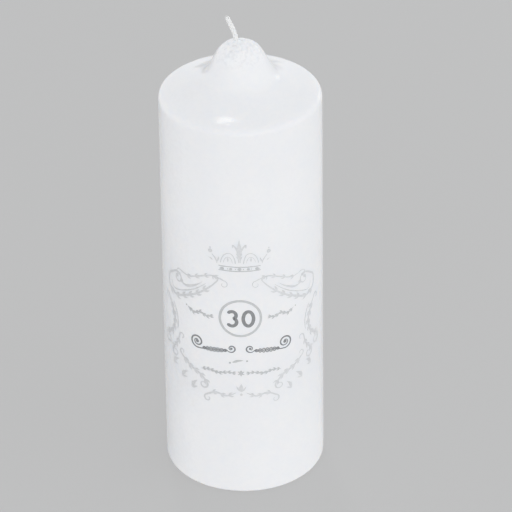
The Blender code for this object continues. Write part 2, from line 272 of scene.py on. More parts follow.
def upper_profile(steps):
    """Radius and height from the top of the straight wall over shoulder and dome to the nub's middle."""
    shoulder = (wall_radius(WALL_TOP), WALL_TOP)
    dome = (DOME_RADIUS, DOME_HEIGHT)
    slope = (math.cos(DOME_SLOPE), math.sin(DOME_SLOPE))
    lower = bezier(
        shoulder,
        (shoulder[0], WALL_TOP + SHOULDER_HANDLE),
        (dome[0] + DOME_HANDLE * slope[0], dome[1] - DOME_HANDLE * slope[1]),
        dome, steps)
    upper = bezier(
        dome,
        (dome[0] - NUB_FOOT_HANDLE * slope[0], dome[1] + NUB_FOOT_HANDLE * slope[1]),
        (NUB_TOP_HANDLE, NUB_TOP),
        (0.0, NUB_TOP), 2 * steps)
    return lower + upper[1:]


def full_profile(wall_step, upper_steps):
    foot = wall_radius(0.0)
    points = arc((foot - FOOT_ROUND, FOOT_ROUND), FOOT_ROUND, FOOT_ROUND, -90, 0, 8)
    count = int((WALL_TOP - FOOT_ROUND) / wall_step)
    for i in range(1, count):
        height = FOOT_ROUND + (WALL_TOP - FOOT_ROUND) * i / count
        points.append((wall_radius(height), height))
    return points + upper_profile(upper_steps)


def inset_profile(distance, wall_step, upper_steps):
    """The outline moved inwards along its normals, from a flat foot up."""
    outline = full_profile(wall_step, upper_steps)[8:]
    points = [(wall_radius(0.0) - distance, 0.0)]
    for i, (radius, height) in enumerate(outline):
        before, after = outline[max(i - 1, 0)], outline[min(i + 1, len(outline) - 1)]
        along = Vector((after[0] - before[0], after[1] - before[1])).normalized()
        moved = (radius - distance * along[1], height + distance * along[0])
        if moved[0] > 0.0 and moved[1] > points[-1][1] - distance:
            points.append(moved)
    return points


def collar(distance):
    """Height of the wax drawn up round the wick, and the shallow dip outside it."""
    rise = COLLAR_RISE * math.exp(-((max(distance - WICK_RADIUS, 0.0)) / (0.5 * MM)) ** 2)
    dip = -0.42 * MM * math.exp(-((distance - 2.5 * MM) / (1.2 * MM)) ** 2)
    return rise + dip


def build_coat(material):
    """The dipped coat: slightly uneven outside, the CAD's own inside, and a hole that grips the wick."""
    segments = 256
    outline = full_profile(2.0 * MM, 34)
    cap = [p for p in outline[-80:] if p[0] < NUB_CAP]
    cap_radii = np.array([p[0] for p in cap])[::-1]
    cap_heights = np.array([p[1] for p in cap])[::-1]
    rings = [("turned", r, z) for r, z in outline if r >= NUB_CAP or z < WALL_TOP]
    cap_rows = 34
    for i in range(1, cap_rows + 1):
        t = i / cap_rows
        rings.append(("cap", NUB_CAP + (WICK_HOLE - NUB_CAP) * (1 - (1 - t) ** 1.35), t))
    inside = [p for p in inset_profile(COAT_THICKNESS, 12 * MM, 10) if p[0] > INNER_TOP_RADIUS]
    points = []
    angles = [2 * math.pi * i / segments for i in range(segments)]
    for kind, radius, value in rings:
        if kind == "cap":
            shift = NUB_LEAN + (WICK_X - NUB_LEAN) * smooth(value)
        else:
            shift = NUB_LEAN * smooth((value - DOME_HEIGHT) / (8.0 * MM))
        for angle in angles:
            x, y = shift + radius * math.cos(angle), radius * math.sin(angle)
            if kind == "cap":
                distance = math.hypot(x - WICK_X, y)
                height = float(np.interp(math.hypot(x - NUB_LEAN, y), cap_radii, cap_heights))
                fade = min(1.0, max(0.0, (distance - WICK_RADIUS) / (1.5 * MM)))
                skin = 0.8 * unevenness(x, y, height) + lumps(x, y) + ripple(x, y, height)
                height += collar(distance) + fade * skin
                points.append((x, y, height))
                continue
            out = unevenness(x, y, value)
            out *= min(1.0, value / (3.0 * MM))
            if value > WALL_TOP:
                up = min(1.0, (value - WALL_TOP) / (2.0 * MM))
                points.append((x * (1 + (1 - up) * out / radius), y * (1 + (1 - up) * out / radius),
                               value + up * (out + lumps(x, y) + ripple(x, y, value))))
            else:
                points.append((x * (1 + out / radius), y * (1 + out / radius), value))
    throat = NUB_TOP - COAT_THICKNESS
    for radius, height, shift in [(WICK_HOLE, throat, WICK_X)] + [(r, z, 0.0) for r, z in inside[::-1]]:
        points += [(shift + radius * math.cos(a), radius * math.sin(a), height) for a in angles]
    rows = len(rings) + 1 + len(inside)
    return new_piece("dipped_coat", points, ring_faces(rows, segments, True), material, "candle",
                     ("overdip_shell",))


def wick_line(height):
    return WICK_X * height / NUB_TOP


def build_core(material):
    """The pressed core; its foot face keeps the crumbly grain of pressed wax beads."""
    segments, foot_rows, beads_per_metre = 192, 46, 520.0
    chamfer = 0.35 * MM
    profile = [p for p in inset_profile(COAT_THICKNESS + CORE_GAP, 12 * MM, 10) if p[0] > INNER_TOP_RADIUS]
    profile[0] = (profile[0][0] - chamfer, 0.0)
    profile.insert(1, (profile[0][0] + chamfer, chamfer))
    top = NUB_TOP - COAT_THICKNESS - CORE_GAP
    clip_radius = 0.5 * (CLIP_HIGH.x - CLIP_LOW.x)
    recess_radius = clip_radius + 0.6 * MM
    recess_depth = CLIP_LOW.z + 0.7 * MM
    recess_edge = 0.25 * MM
    pocket_radius = 2.2 * MM
    pocket_top = CLIP_HIGH.z + CORE_GAP
    channel = 1.45 * MM
    rings = [(0.0, r, z) for r, z in profile]
    rings += [(wick_line(top), channel, top), (wick_line(pocket_top), channel, pocket_top),
              (wick_line(pocket_top), pocket_radius, pocket_top), (0.0, pocket_radius, recess_depth),
              (0.0, recess_radius, recess_depth), (0.0, recess_radius, recess_edge)]
    foot_start, foot_edge = recess_radius + recess_edge, profile[0][0]
    for i in range(foot_rows):
        rings.append((0.0, foot_start + (foot_edge - foot_start) * i / foot_rows, 0.0))
    points = []
    for middle, radius, height in rings:
        for i in range(segments):
            angle = 2 * math.pi * i / segments
            x, y = middle + radius * math.cos(angle), radius * math.sin(angle)
            z = height
            if height == 0.0 and recess_radius < radius < foot_edge:
                cell = noise.voronoi(Vector((x, y, 0.0)) * beads_per_metre)[0]
                z = (0.16 * (1.0 - min(1.0, (cell[1] - cell[0]) * 3.0)) + 0.02) * MM
            points.append((x, y, z))
    return new_piece("pressed_core", points, ring_faces(len(rings), segments, True), material, "candle",
                     ("wax_core",))


def build_clip(material):
    """Stamped plate with a raised bead, a rolled rim and a drawn neck."""
    low, high = CLIP_LOW.z, CLIP_HIGH.z
    sheet = 0.4 * MM
    rim = 0.5 * (CLIP_HIGH.x - CLIP_LOW.x)
    neck = 1.9 * MM
    bore = neck - sheet
    bead_radius, bead_width, bead_height = 0.68 * rim, 0.55 * MM, 0.22 * MM
    flare, tilt, edge = 0.8 * MM, 0.05 * MM, 0.1 * MM
    segments, steps = 96, 40

    def bead(radius):
        return bead_height * math.exp(-((radius - bead_radius) / bead_width) ** 2)

    start = bore + flare
    rings = [(bore, low + 0.9 * MM), (bore + 0.25 * MM, low + 0.35 * MM), (start, low + tilt)]
    for i in range(1, steps + 1):
        radius = start + (rim - start) * i / steps
        rings.append((radius, low + tilt * (1 - i / steps) + bead(radius)))
    rings.append((rim + 0.02 * MM, low + 0.5 * sheet))
    for i in range(steps + 1):
        radius = rim + (neck + 0.9 * MM - rim) * i / steps
        rings.append((radius, low + sheet + bead(radius)))
    rings += [(neck + 0.25 * MM, low + sheet + 0.3 * MM), (neck, low + sheet + 0.9 * MM),
              (neck, high - edge), (neck - edge, high), (bore, high)]
    points = []
    for radius, height in rings:
        for i in range(segments):
            angle = 2 * math.pi * i / segments
            points.append((radius * math.cos(angle), radius * math.sin(angle), height))
    return new_piece("stamped_clip", points, ring_faces(len(rings), segments, True), material, "candle",
                     ("wick_clip",))


# -------------------- wick

LEAN_FOOT, LEAN_TIP = math.radians(13.0), math.radians(25.0)
FREE_LENGTH = 10.9 * MM


def wick_spine(spacing):
    """Points and directions of the wick's middle, from inside the nub to the tip."""
    start_height = NUB_TOP - 5.0 * MM
    point = Vector((wick_line(start_height), 0.0, start_height))
    length = (PIVOT.z - start_height) + FREE_LENGTH
    count = int(length / spacing)
    spine = []
    for i in range(count + 1):
        if point.z < NUB_TOP:
            lean = 0.0
        elif point.z < PIVOT.z:
            lean = LEAN_FOOT * (point.z - NUB_TOP) / (PIVOT.z - NUB_TOP)
        else:
            beyond = (i * spacing - (PIVOT.z - start_height)) / FREE_LENGTH
            lean = LEAN_FOOT + (LEAN_TIP - LEAN_FOOT) * min(1.0, 1.6 * beyond)
        direction = Vector((-math.sin(lean), 0.0, math.cos(lean)))
        spine.append((point.copy(), direction))
        point = point + direction * spacing
    return spine


def add_tube(points, faces, spine, radii, sides):
    """Adds a closed tube along points; `radii` gives (in-plane, across) half axes for each point."""
    base = len(points)
    for k, (middle, direction, out) in enumerate(spine):
        across = direction.cross(out).normalized()
        upright = across.cross(direction).normalized()
        for i in range(sides):
            angle = 2 * math.pi * i / sides
            rise, reach = radii[k][0] * math.cos(angle), radii[k][1] * math.sin(angle)
            points.append(middle + rise * upright + reach * across)
    faces.append(tuple(base + i for i in range(sides))[::-1])
    for row in range(len(spine) - 1):
        for i in range(sides):
            j = (i + 1) % sides
            low, high = base + row * sides, base + (row + 1) * sides
            faces.append((low + i, low + j, high + j, high + i))
    last = base + (len(spine) - 1) * sides
    faces.append(tuple(last + i for i in range(sides)))


def build_wick(material):
    """One braid of eight strands round a filler, with loose fibres at its tip; it bends from the nub up."""
    rng = random.Random(11)
    points, faces = [], []
    spacing = 0.16 * MM
    spine = wick_spine(spacing)
    side = Vector((0.0, 1.0, 0.0))
    pitch = 7.4 * MM
    braid_radius, weave, flat, wide = 0.74 * MM, 0.13 * MM, 0.28 * MM, 0.40 * MM
    for strand in range(8):
        way = 1.0 if strand % 2 else -1.0
        first = (strand // 2) * math.pi / 2
        trim = rng.randint(0, 4)
        centres = []
        for i in range(len(spine) - trim):
            middle, direction = spine[i]
            normal = side.cross(direction).normalized()
            run = i * spacing / pitch
            angle = first + way * 2 * math.pi * run
            out = math.cos(angle) * normal + math.sin(angle) * side
            height = braid_radius + way * weave * math.cos(8 * math.pi * run)
            near_tip = max(0.0, 1.0 - (len(spine) - 1 - i) * spacing / (1.2 * MM))
            height += 0.16 * MM * near_tip ** 2
            centres.append((middle + height * out, out))
        line = []
        for i, (centre, out) in enumerate(centres):
            ahead = centres[min(i + 1, len(centres) - 1)][0]
            behind = centres[max(i - 1, 0)][0]
            line.append((centre, (ahead - behind).normalized(), out))
        ends = [min(1.0, 0.45 + 0.25 * (len(line) - 1 - i)) for i in range(len(line))]
        add_tube(points, faces, line, [(flat * e, wide * e) for e in ends], 8)
    filler = [(p, d, side.cross(d).normalized()) for p, d in spine[:-3]]
    add_tube(points, faces, filler, [(0.66 * MM, 0.66 * MM)] * len(filler), 10)
    for _ in range(22):
        middle, direction = spine[-1 - rng.randint(0, 5)]
        angle = rng.uniform(0.0, 2 * math.pi)
        out = math.cos(angle) * side.cross(direction).normalized() + math.sin(angle) * side
        start = middle + out * rng.uniform(0.2, 0.9) * MM
        reach = rng.uniform(0.5, 1.3) * MM
        bend = rng.uniform(-0.5, 0.7)
        last = 5
        fibre = []
        for k in range(last + 1):
            t = k / last
            fibre.append(start + direction * reach * t + out * bend * reach * t * t)
        line = []
        for k, middle in enumerate(fibre):
            line.append((middle, (fibre[min(k + 1, last)] - fibre[max(k - 1, 0)]).normalized(), out))
        add_tube(points, faces, line, [((0.045 - 0.005 * k) * MM,) * 2 for k in range(last + 1)], 5)
    buried = []
    low, high, steps = WICK_LOW.z, spine[0][0].z, 60
    up, outward = Vector((0.0, 0.0, 1.0)), Vector((1.0, 0.0, 0.0))
    for k in range(steps + 1):
        height = low + (high - low) * k / steps
        buried.append((Vector((wick_line(height), 0.0, height)), up, outward))
    add_tube(points, faces, buried, [(0.98 * WICK_RADIUS,) * 2] * len(buried), 16)
    piece = new_piece("braided_wick", points, faces, material, None, ("wick", "wick_end"), 60.0)
    reach = 3.6 * MM
    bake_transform(piece)
    return piece


# -------------------- print

def on_wall(across, height, lift):
    """Wraps an unrolled print point (design millimetres) on the uneven wax, `lift` outside it."""
    angle = across * MM / PRINT_RADIUS
    z = height * MM
    radius = wall_radius(z)
    x, y = radius * math.sin(angle), -radius * math.cos(angle)
    radius += unevenness(x, y, z) + lift
    return (radius * math.sin(angle), -radius * math.cos(angle), z)


def half_widths(at, width, shape):
    """Half the width of a drawn line at each arc length: full, even with round ends, pen or leaf."""
    total = at[-1]
    t = at / total
    half = np.full(len(at), 0.5 * width)
    if shape == "full":
        return half
    if shape == "leaf":
        return np.maximum(half * np.sin(np.pi * t ** 0.7) ** 1.1, THINNEST_LINE)
    ends = np.minimum(at, total - at)
    half *= np.sqrt(np.clip(1.0 - (1.0 - np.clip(ends / (0.5 * width), 0, 1)) ** 2, 0.0, 1.0))
    if shape == "pen":
        half *= 0.35 + 0.65 * np.sin(np.pi * t) ** 0.8
    return np.maximum(half, THINNEST_LINE)


class Ink:
    """Collects drawn lines, then makes one printed piece of them."""

    def __init__(self):
        self.points = []
        self.faces = []
        self.lines = 0

    def line(self, path, width, shape="pen", closed=False):
        line, at = resampled(path, LINE_SPACING)
        if closed:
            line, at = line[:-1], at[:-1]
        count = len(line)
        half = half_widths(at, width, shape)
        ahead, behind = np.roll(line, -1, axis=0), np.roll(line, 1, axis=0)
        if not closed:
            ahead[-1], behind[0] = line[-1], line[0]
        along = ahead - behind
        along /= np.maximum(np.hypot(along[:, 0], along[:, 1]), 1e-9)[:, None]
        normal = np.column_stack([-along[:, 1], along[:, 0]])
        left, right = line + half[:, None] * normal, line - half[:, None] * normal
        top = INK_PROUD + INK_STEP * (self.lines % 8)
        self.lines += 1
        base = len(self.points)
        for a, b in zip(left, right):
            for edge, lift in ((a, -INK_SUNK), (b, -INK_SUNK), (b, top), (a, top)):
                self.points.append(on_wall(*edge, lift))
        for row in range(count if closed else count - 1):
            this, following = base + 4 * row, base + 4 * ((row + 1) % count)
            for i in range(4):
                j = (i + 1) % 4
                self.faces.append((this + i, this + j, following + j, following + i))
        if not closed:
            last = base + 4 * (count - 1)
            self.faces.append((base, base + 3, base + 2, base + 1))
            self.faces.append((last, last + 1, last + 2, last + 3))
        return self

    def dots(self, centres, radius, stretch=1.0):
        for centre in centres:
            self.dot(centre, radius, stretch)
        return self

    def dot(self, centre, radius, stretch):
        sides = 24
        rim = arc(centre, radius, radius * stretch, 0, 360, sides)[:-1]
        base = len(self.points)
        self.points += [on_wall(a, h, -INK_SUNK) for a, h in rim]
        self.points += [on_wall(a, h, INK_PROUD) for a, h in rim]
        self.points.append(on_wall(*centre, -INK_SUNK))
        self.points.append(on_wall(*centre, INK_PROUD + DOT_RISE))
        for i in range(sides):
            j = (i + 1) % sides
            self.faces.append((base + i, base + j, base + sides + j, base + sides + i))
            self.faces.append((base + j, base + i, base + 2 * sides))
            self.faces.append((base + sides + i, base + sides + j, base + 2 * sides + 1))
        return self

    def sprigs(self, path, places, length, width, lean_deg=38.0, sides=(1, -1)):
        """Small leaves that branch off a line at shares of its length."""
        line, _ = resampled(path, LINE_SPACING)
        for share in places:
            k = min(len(line) - 2, max(1, int(share * (len(line) - 1))))
            along = line[k + 1] - line[k - 1]
            heading = math.atan2(along[1], along[0])
            for side in sides:
                a = heading + side * math.radians(lean_deg)
                b = heading + side * math.radians(0.35 * lean_deg)
                root = line[k]
                middle = root + 0.55 * length * np.array([math.cos(a), math.sin(a)])
                tip = middle + 0.5 * length * np.array([math.cos(b), math.sin(b)])
                self.line(spline([tuple(root), tuple(middle), tuple(tip)], 6), width, "leaf")
        return self

    def piece(self, node, material, slot="pale_ink"):
        return new_piece(f"ink_{node}", self.points, self.faces, material, "candle", (node,), 30.0)


def spot(across, up):
    """A print point given from the middle of the number's ring."""
    return (PRINT_CENTRE + across, RING_HEIGHT + up)


def spots(*points):
    return [spot(*point) for point in points]


def unchanged(path):
    return path


def mirrored(path):
    return [(2 * PRINT_CENTRE - across, height) for across, height in path]


def sided(name, draw, material, slot="pale_ink"):
    """Makes the left piece and its mirror image on the right; draw(ink, flip) draws with flipped paths."""
    for suffix, flip in (("left", unchanged), ("right", mirrored)):
        ink = Ink()
        draw(ink, flip)
        ink.piece(f"{name}_{suffix}", material, slot)


def print_number(dark, middle_tone):
    """Ring and the plain digits of 30, drawn from arcs."""
    ring = Ink().line(arc(spot(0.0, 0.0), 9.7, 9.7, 0, 360, 160), 1.25, "full", True)
    ring.piece("number_ring", middle_tone, "dark_ink")
    three = arc(spot(-3.9, 1.8), 2.0, 2.0, 158, -50)
    three += spots((-3.15, -0.05))
    three += arc(spot(-3.9, -1.95), 2.2, 2.25, 52, -158)
    Ink().line(three, 1.7, "even").piece("digit_three", dark, "dark_ink")
    zero = arc(spot(3.8, -0.15), 2.4, 4.0, 0, 360, 96)
    Ink().line(zero, 1.7, "full", True).piece("digit_zero", dark, "dark_ink")


def print_flourishes(dark):
    """Wordless scroll lines: a large and a small volute joined by a cord of two crossing waves."""
    large, small = spot(-21.7, -16.4), spot(-4.4, -17.0)
    (start, height), (end, _) = spots((-18.9, -18.2), (-6.4, -18.2))
    drop, waves, swing, steps, eyes = 0.9, 3.5, 1.25, 84, 7

    def cord_middle(t):
        return start + (end - start) * t, height - drop * (1 - t)

    def draw(ink, flip):
        line = spiral(large, 1.0, 3.6, -290, 270)[:-1]
        line += spline(spots((-21.7, -20.0), (-18.4, -19.6), (-15.4, -18.6)))
        ink.line(flip(line), 0.85, "pen")
        ink.line(flip(spiral(small, 2.3, 0.8, 200, 620)), 0.7, "pen")
        ink.dots(flip([large]), 0.9)
        ink.dots(flip([small]), 0.6)
        for way in (-1.0, 1.0):
            cord = []
            for i in range(steps + 1):
                t = i / steps
                across, middle = cord_middle(t)
                ease = math.sin(math.pi * t) ** 0.4
                cord.append((across, middle + way * swing * ease * math.sin(2 * math.pi * waves * t)))
            ink.line(flip(cord), 0.48, "even")
        ink.dots(flip([cord_middle((i + 0.5) / eyes) for i in range(eyes)]), 0.4)
    sided("flourish", draw, dark, "dark_ink")


def print_small_lines(middle_tone):
    """Leafy lines beside the ring and at the foot, a small mark and a bud."""
    def beside(ink, flip):
        wave = spline(spots((-26.9, 1.1), (-23.3, -0.9), (-19.7, 0.5), (-16.3, -0.8), (-12.9, 0.1)))
        ink.line(flip(wave), 0.85, "pen")
        ink.sprigs(flip(wave), (0.08, 0.22, 0.36, 0.50, 0.64, 0.78, 0.9), 2.0, 0.75)
        ink.dots(flip(spots((-27.9, 1.4))), 0.45)
    sided("side_line", beside, middle_tone)

    mark = Ink()
    mark.line(spline(spots((-4.1, -24.8), (-1.3, -23.7), (1.7, -23.6))), 1.3, "leaf")
    mark.dots(spots((2.9, -23.9), (-5.2, -25.0)), 0.55)
    mark.piece("centre_mark", middle_tone)

    def garland(ink, flip):
        wave = spline(spots((-19.7, -31.2), (-15.2, -30.4), (-10.7, -31.4), (-6.2, -30.4), (-2.3, -31.0)))
        ink.line(flip(wave), 0.7, "pen")
        ink.sprigs(flip(wave), (0.06, 0.18, 0.30, 0.42, 0.54, 0.66, 0.78, 0.9), 1.9, 0.7)
    sided("garland", garland, middle_tone)

    bud = Ink()
    bud_height, petals, root_radius, tip_radius = -30.8, 6, 0.8, 1.9
    bud.dots(spots((0.0, bud_height)), 0.95, 1.25)
    for turn in range(petals):
        a = 2 * math.pi * (turn + 0.5) / petals
        reach = (root_radius, 0.5 * (root_radius + tip_radius), tip_radius)
        petal = spots(*((r * math.cos(a), bud_height + r * math.sin(a)) for r in reach))
        bud.line(petal, 0.6, "leaf")
    bud.piece("garland_bud", middle_tone)


def print_crown(pale, middle_tone):
    """A plain open crown: gemmed band, arches, horns with pearls, and a leaf finial."""
    band = Ink()
    half_band, sag, steps, gem_height = 10.0, 0.35, 24, 27.2
    for rise, width in ((28.65, 0.45), (26.35, 0.55)):
        shares = [2 * i / steps - 1 for i in range(steps + 1)]
        edge = spots(*((half_band * s, rise - sag * math.cos(0.5 * math.pi * s)) for s in shares))
        band.line(edge, width, "even")
    for i in range(-2, 3):
        band.dots(spots((4.1 * i, gem_height)), 0.95 if i % 2 == 0 else 0.75, 0.85)
    band.dots(spots(*((1.833 * i, gem_height) for i in range(-5, 6, 2))), 0.3)
    band.piece("crown_band", middle_tone)

    finial = Ink()
    finial.line(spots((0.0, 32.4), (0.0, 36.0), (0.0, 40.6), (0.0, 43.6)), 2.4, "leaf")
    for side in (-1, 1):
        petal = spots((0.2 * side, 35.4), (1.7 * side, 38.6), (3.1 * side, 40.3), (3.0 * side, 38.4))
        finial.line(spline(petal), 0.9, "pen")
        finial.line(spline(spots((0.3 * side, 30.4), (0.5 * side, 32.6), (1.5 * side, 34.2))), 0.6, "pen")
    finial.line(spots((-1.5, 35.2), (0.0, 35.4), (1.5, 35.2)), 0.6, "even")
    finial.piece("crown_leaf", pale)

    def arch(ink, flip):
        loop = bezier(*spots((-1.9, 30.0), (-2.3, 38.4), (-8.3, 36.6), (-8.9, 30.2)), 30)
        ink.line(flip(loop), 0.5, "even")
        inner = bezier(*spots((-3.3, 30.2), (-3.6, 35.0), (-7.0, 34.6), (-7.5, 30.4)), 20)
        ink.line(flip(inner), 0.3, "even")
        ink.line(flip(spots((-5.4, 31.0), (-5.4, 32.2), (-5.4, 33.8))), 0.8, "leaf")
    sided("crown_arch", arch, pale)

    def horn(ink, flip):
        line = bezier(*spots((-10.6, 29.6), (-11.0, 31.8), (-11.9, 33.2), (-13.2, 34.4)), 16)
        ink.line(flip(line), 0.6, "pen")
        ink.line(flip(spline(spots((-10.8, 30.4), (-9.9, 32.2), (-9.6, 33.6)))), 0.9, "leaf")
        ink.line(flip(spots((-12.8, 31.0), (-13.6, 31.9), (-14.8, 32.3))), 0.7, "leaf")
    sided("crown_horn", horn, pale)

    def pearl(ink, flip):
        ink.dots(flip(spots((-13.9, 35.9))), 1.05)
        ink.dots(flip(spots((-13.9, 37.7))), 0.4)
    sided("crown_pearl", pearl, pale)


def branch(knots, width, start_curl, end_curl, shares, leaf_length, leaf_width):
    """Draws a stem through the knots with a volute at one or both ends, and leaves along the stem."""
    def draw(ink, flip):
        stem = spline(spots(*knots))
        whole = curl_start(stem, *start_curl)
        if end_curl:
            whole = curl(whole, *end_curl)
        ink.line(flip(whole), width, "pen")
        ink.sprigs(flip(stem), shares, leaf_length, leaf_width)
    return draw


def three_leaves(root, tip):
    """Draws a leaf with a smaller one on either side of it, all from one root."""
    def draw(ink, flip):
        (ax, az), (bx, bz) = spots(root, tip)
        dx, dz = bx - ax, bz - az
        bow = (0.5 * (ax + bx) - 0.12 * dz, 0.5 * (az + bz) + 0.12 * dx)
        ink.line(flip(spline([(ax, az), bow, (bx, bz)])), 1.7, "leaf")
        for turn in (0.55, -0.55):
            ex = 0.62 * (dx * math.cos(turn) - dz * math.sin(turn))
            ez = 0.62 * (dx * math.sin(turn) + dz * math.cos(turn))
            small = [(ax, az), (ax + 0.5 * ex, az + 0.5 * ez), (ax + ex, az + ez)]
            ink.line(flip(spline(small)), 0.9, "leaf")
    return draw


def print_frame(pale):
    """The scrolled frame: every stroke is drawn once, on the left, and mirrored."""
    def corner(ink, flip):
        line = spline(spots((-35.9, 16.5), (-41.1, 12.5), (-41.1, 6.7), (-35.7, 3.7), (-28.3, 6.5),
                            (-20.7, 10.7), (-14.3, 15.9), (-10.7, 19.9)))
        outer = curl(curl_start(line, 3.3, 1.0, 380, -1), 1.7, 0.7, 300, 1)
        ink.line(flip(outer), 1.15, "pen")
        inner = spots((-39.0, 10.0), (-36.6, 6.6), (-29.6, 8.6), (-22.4, 12.4), (-16.4, 17.2))
        ink.line(flip(spline(inner)), 0.6, "pen")
        leaf = spots((-31.6, 12.6), (-27.4, 12.2), (-22.4, 14.4), (-18.2, 17.6))
        ink.line(flip(spline(leaf)), 1.3, "leaf")
        ink.sprigs(flip(line), (0.3, 0.40, 0.50, 0.60, 0.70, 0.80), 3.3, 1.15)
        ink.dots(flip([outer[0]]), 0.9)
        ink.dots(flip(spots((-30.9, 13.4))), 1.0)
    sided("frame_corner", corner, pale)

    crest = branch(((-32.1, 19.1), (-26.1, 18.1), (-19.7, 20.3), (-13.1, 22.3), (-7.1, 20.3)), 0.7,
                   (2.0, 0.7, 320, 1), (2.0, 0.7, 330, -1), (0.2, 0.4, 0.6, 0.8), 2.4, 0.8)
    sided("frame_crest", crest, pale)

    def side(ink, flip):
        line = spline(spots((-42.1, 0.1), (-38.7, -5.3), (-36.9, -12.1), (-39.3, -18.5), (-44.5, -21.9)))
        whole = curl(curl_start(line, 1.8, 0.7, 300, 1), 3.2, 0.8, 400, 1)
        ink.line(flip(whole), 1.15, "pen")
        inner = spline(spots((-37.6, -1.4), (-35.2, -6.0), (-34.2, -11.6), (-34.9, -15.4)))
        ink.line(flip(inner), 0.7, "pen")
        ink.sprigs(flip(line), (0.15, 0.3, 0.45, 0.6, 0.75, 0.9), 3.2, 1.15)
    sided("frame_side", side, pale)

    volute = branch(((-33.3, -17.7), (-35.1, -23.3), (-38.9, -27.3)), 1.0,
                    (1.8, 0.7, 280, -1), (2.8, 0.8, 420, 1), (0.3, 0.6, 0.9), 2.8, 1.0)
    sided("frame_volute", volute, pale)

    sweep = branch(((-32.3, -28.1), (-26.5, -32.1), (-20.7, -34.5), (-17.1, -38.1)), 1.1,
                   (1.7, 0.7, 300, -1), (2.4, 0.8, 380, -1), (0.15, 0.35, 0.55, 0.75, 0.95), 3.0, 1.1)
    sided("frame_sweep", sweep, pale)

    sided("frame_leaf_outer", three_leaves((-38.9, -36.3), (-34.3, -32.3)), pale)
    sided("frame_leaf_middle", three_leaves((-32.1, -40.7), (-27.7, -36.1)), pale)
    sided("frame_leaf_inner", three_leaves((-25.3, -44.3), (-22.3, -39.1)), pale)

    foot = branch(((-17.3, -45.3), (-12.3, -42.9), (-7.1, -44.1), (-2.3, -41.9)), 0.95,
                  (2.0, 0.7, 330, 1), None, (0.25, 0.5, 0.75), 2.6, 0.95)
    sided("frame_foot", foot, pale)

    finial = Ink()
    finial.line(spots((0.0, -41.5), (0.0, -39.2), (0.0, -36.5)), 2.0, "leaf")
    for way in (-1, 1):
        finial.line(spline(spots((0.1 * way, -41.3), (1.6 * way, -39.7), (2.4 * way, -37.9))), 0.9, "leaf")
    finial.dots(spots((0.0, -43.0)), 0.7)
    finial.piece("frame_finial", pale)


# -------------------- materials

def grey(tone):
    return (tone, tone, tone)


class Shader:
    """A node material built step by step."""

    def __init__(self, name):
        self.material = bpy.data.materials.new(name)
        self.material.use_nodes = True
        self.nodes = self.material.node_tree.nodes
        self.links = self.material.node_tree.links
        self.surface = self.nodes["Principled BSDF"]
        self.place = self.nodes.new("ShaderNodeTexCoord").outputs["Object"]

    def stretched(self, scale):
        mapping = self.nodes.new("ShaderNodeMapping")
        mapping.inputs["Scale"].default_value = scale
        self.links.new(self.place, mapping.inputs["Vector"])
        return mapping.outputs["Vector"]

    def noise(self, scale, detail=3.0, roughness=0.5, vector=None):
        texture = self.nodes.new("ShaderNodeTexNoise")
        texture.inputs["Scale"].default_value = scale
        texture.inputs["Detail"].default_value = detail
        texture.inputs["Roughness"].default_value = roughness
        self.links.new(vector or self.place, texture.inputs["Vector"])
        return texture.outputs["Fac"]

    def voronoi(self, scale, feature="F1"):
        texture = self.nodes.new("ShaderNodeTexVoronoi")
        texture.feature = feature
        texture.inputs["Scale"].default_value = scale
        self.links.new(self.place, texture.inputs["Vector"])
        return texture.outputs["Distance"]

    def ramp(self, factor, stops):
        """Colour ramp from (position, colour) stops."""
        node = self.nodes.new("ShaderNodeValToRGB")
        elements = node.color_ramp.elements
        while len(elements) > 1:
            elements.remove(elements[-1])
        elements[0].position, elements[0].color = stops[0][0], (*stops[0][1], 1.0)
        for position, colour in stops[1:]:
            elements.new(position).color = (*colour, 1.0)
        self.links.new(factor, node.inputs["Fac"])
        return node.outputs["Color"]

    def scaled(self, factor, at_zero, at_one):
        """A number that runs straight from at_zero to at_one while the factor runs from 0 to 1."""
        node = self.nodes.new("ShaderNodeMath")
        node.operation = "MULTIPLY_ADD"
        self.links.new(factor, node.inputs[0])
        node.inputs[1].default_value = at_one - at_zero
        node.inputs[2].default_value = at_zero
        return node.outputs[0]

    def multiply(self, colour_a, colour_b, share=1.0):
        node = self.nodes.new("ShaderNodeMix")
        node.data_type = "RGBA"
        node.blend_type = "MULTIPLY"
        if hasattr(share, "node"):
            self.links.new(share, node.inputs["Factor"])
        else:
            node.inputs["Factor"].default_value = share
        self.links.new(colour_a, node.inputs["A"])
        self.links.new(colour_b, node.inputs["B"])
        return node.outputs["Result"]

    def bump(self, height, distance, strength=1.0, below=None):
        node = self.nodes.new("ShaderNodeBump")
        node.inputs["Distance"].default_value = distance
        node.inputs["Strength"].default_value = strength
        self.links.new(height, node.inputs["Height"])
        if below is not None:
            self.links.new(below, node.inputs["Normal"])
        return node.outputs["Normal"]

    def height_axis(self):
        split = self.nodes.new("ShaderNodeSeparateXYZ")
        self.links.new(self.place, split.inputs["Vector"])
        return split.outputs["Z"]

    def set(self, name, value):
        socket = self.surface.inputs[name]
        if hasattr(value, "node"):
            self.links.new(value, socket)
        else:
            socket.default_value = value


RAMP_HEIGHT = 0.25                      # metres of height that a colour ramp along the candle spans


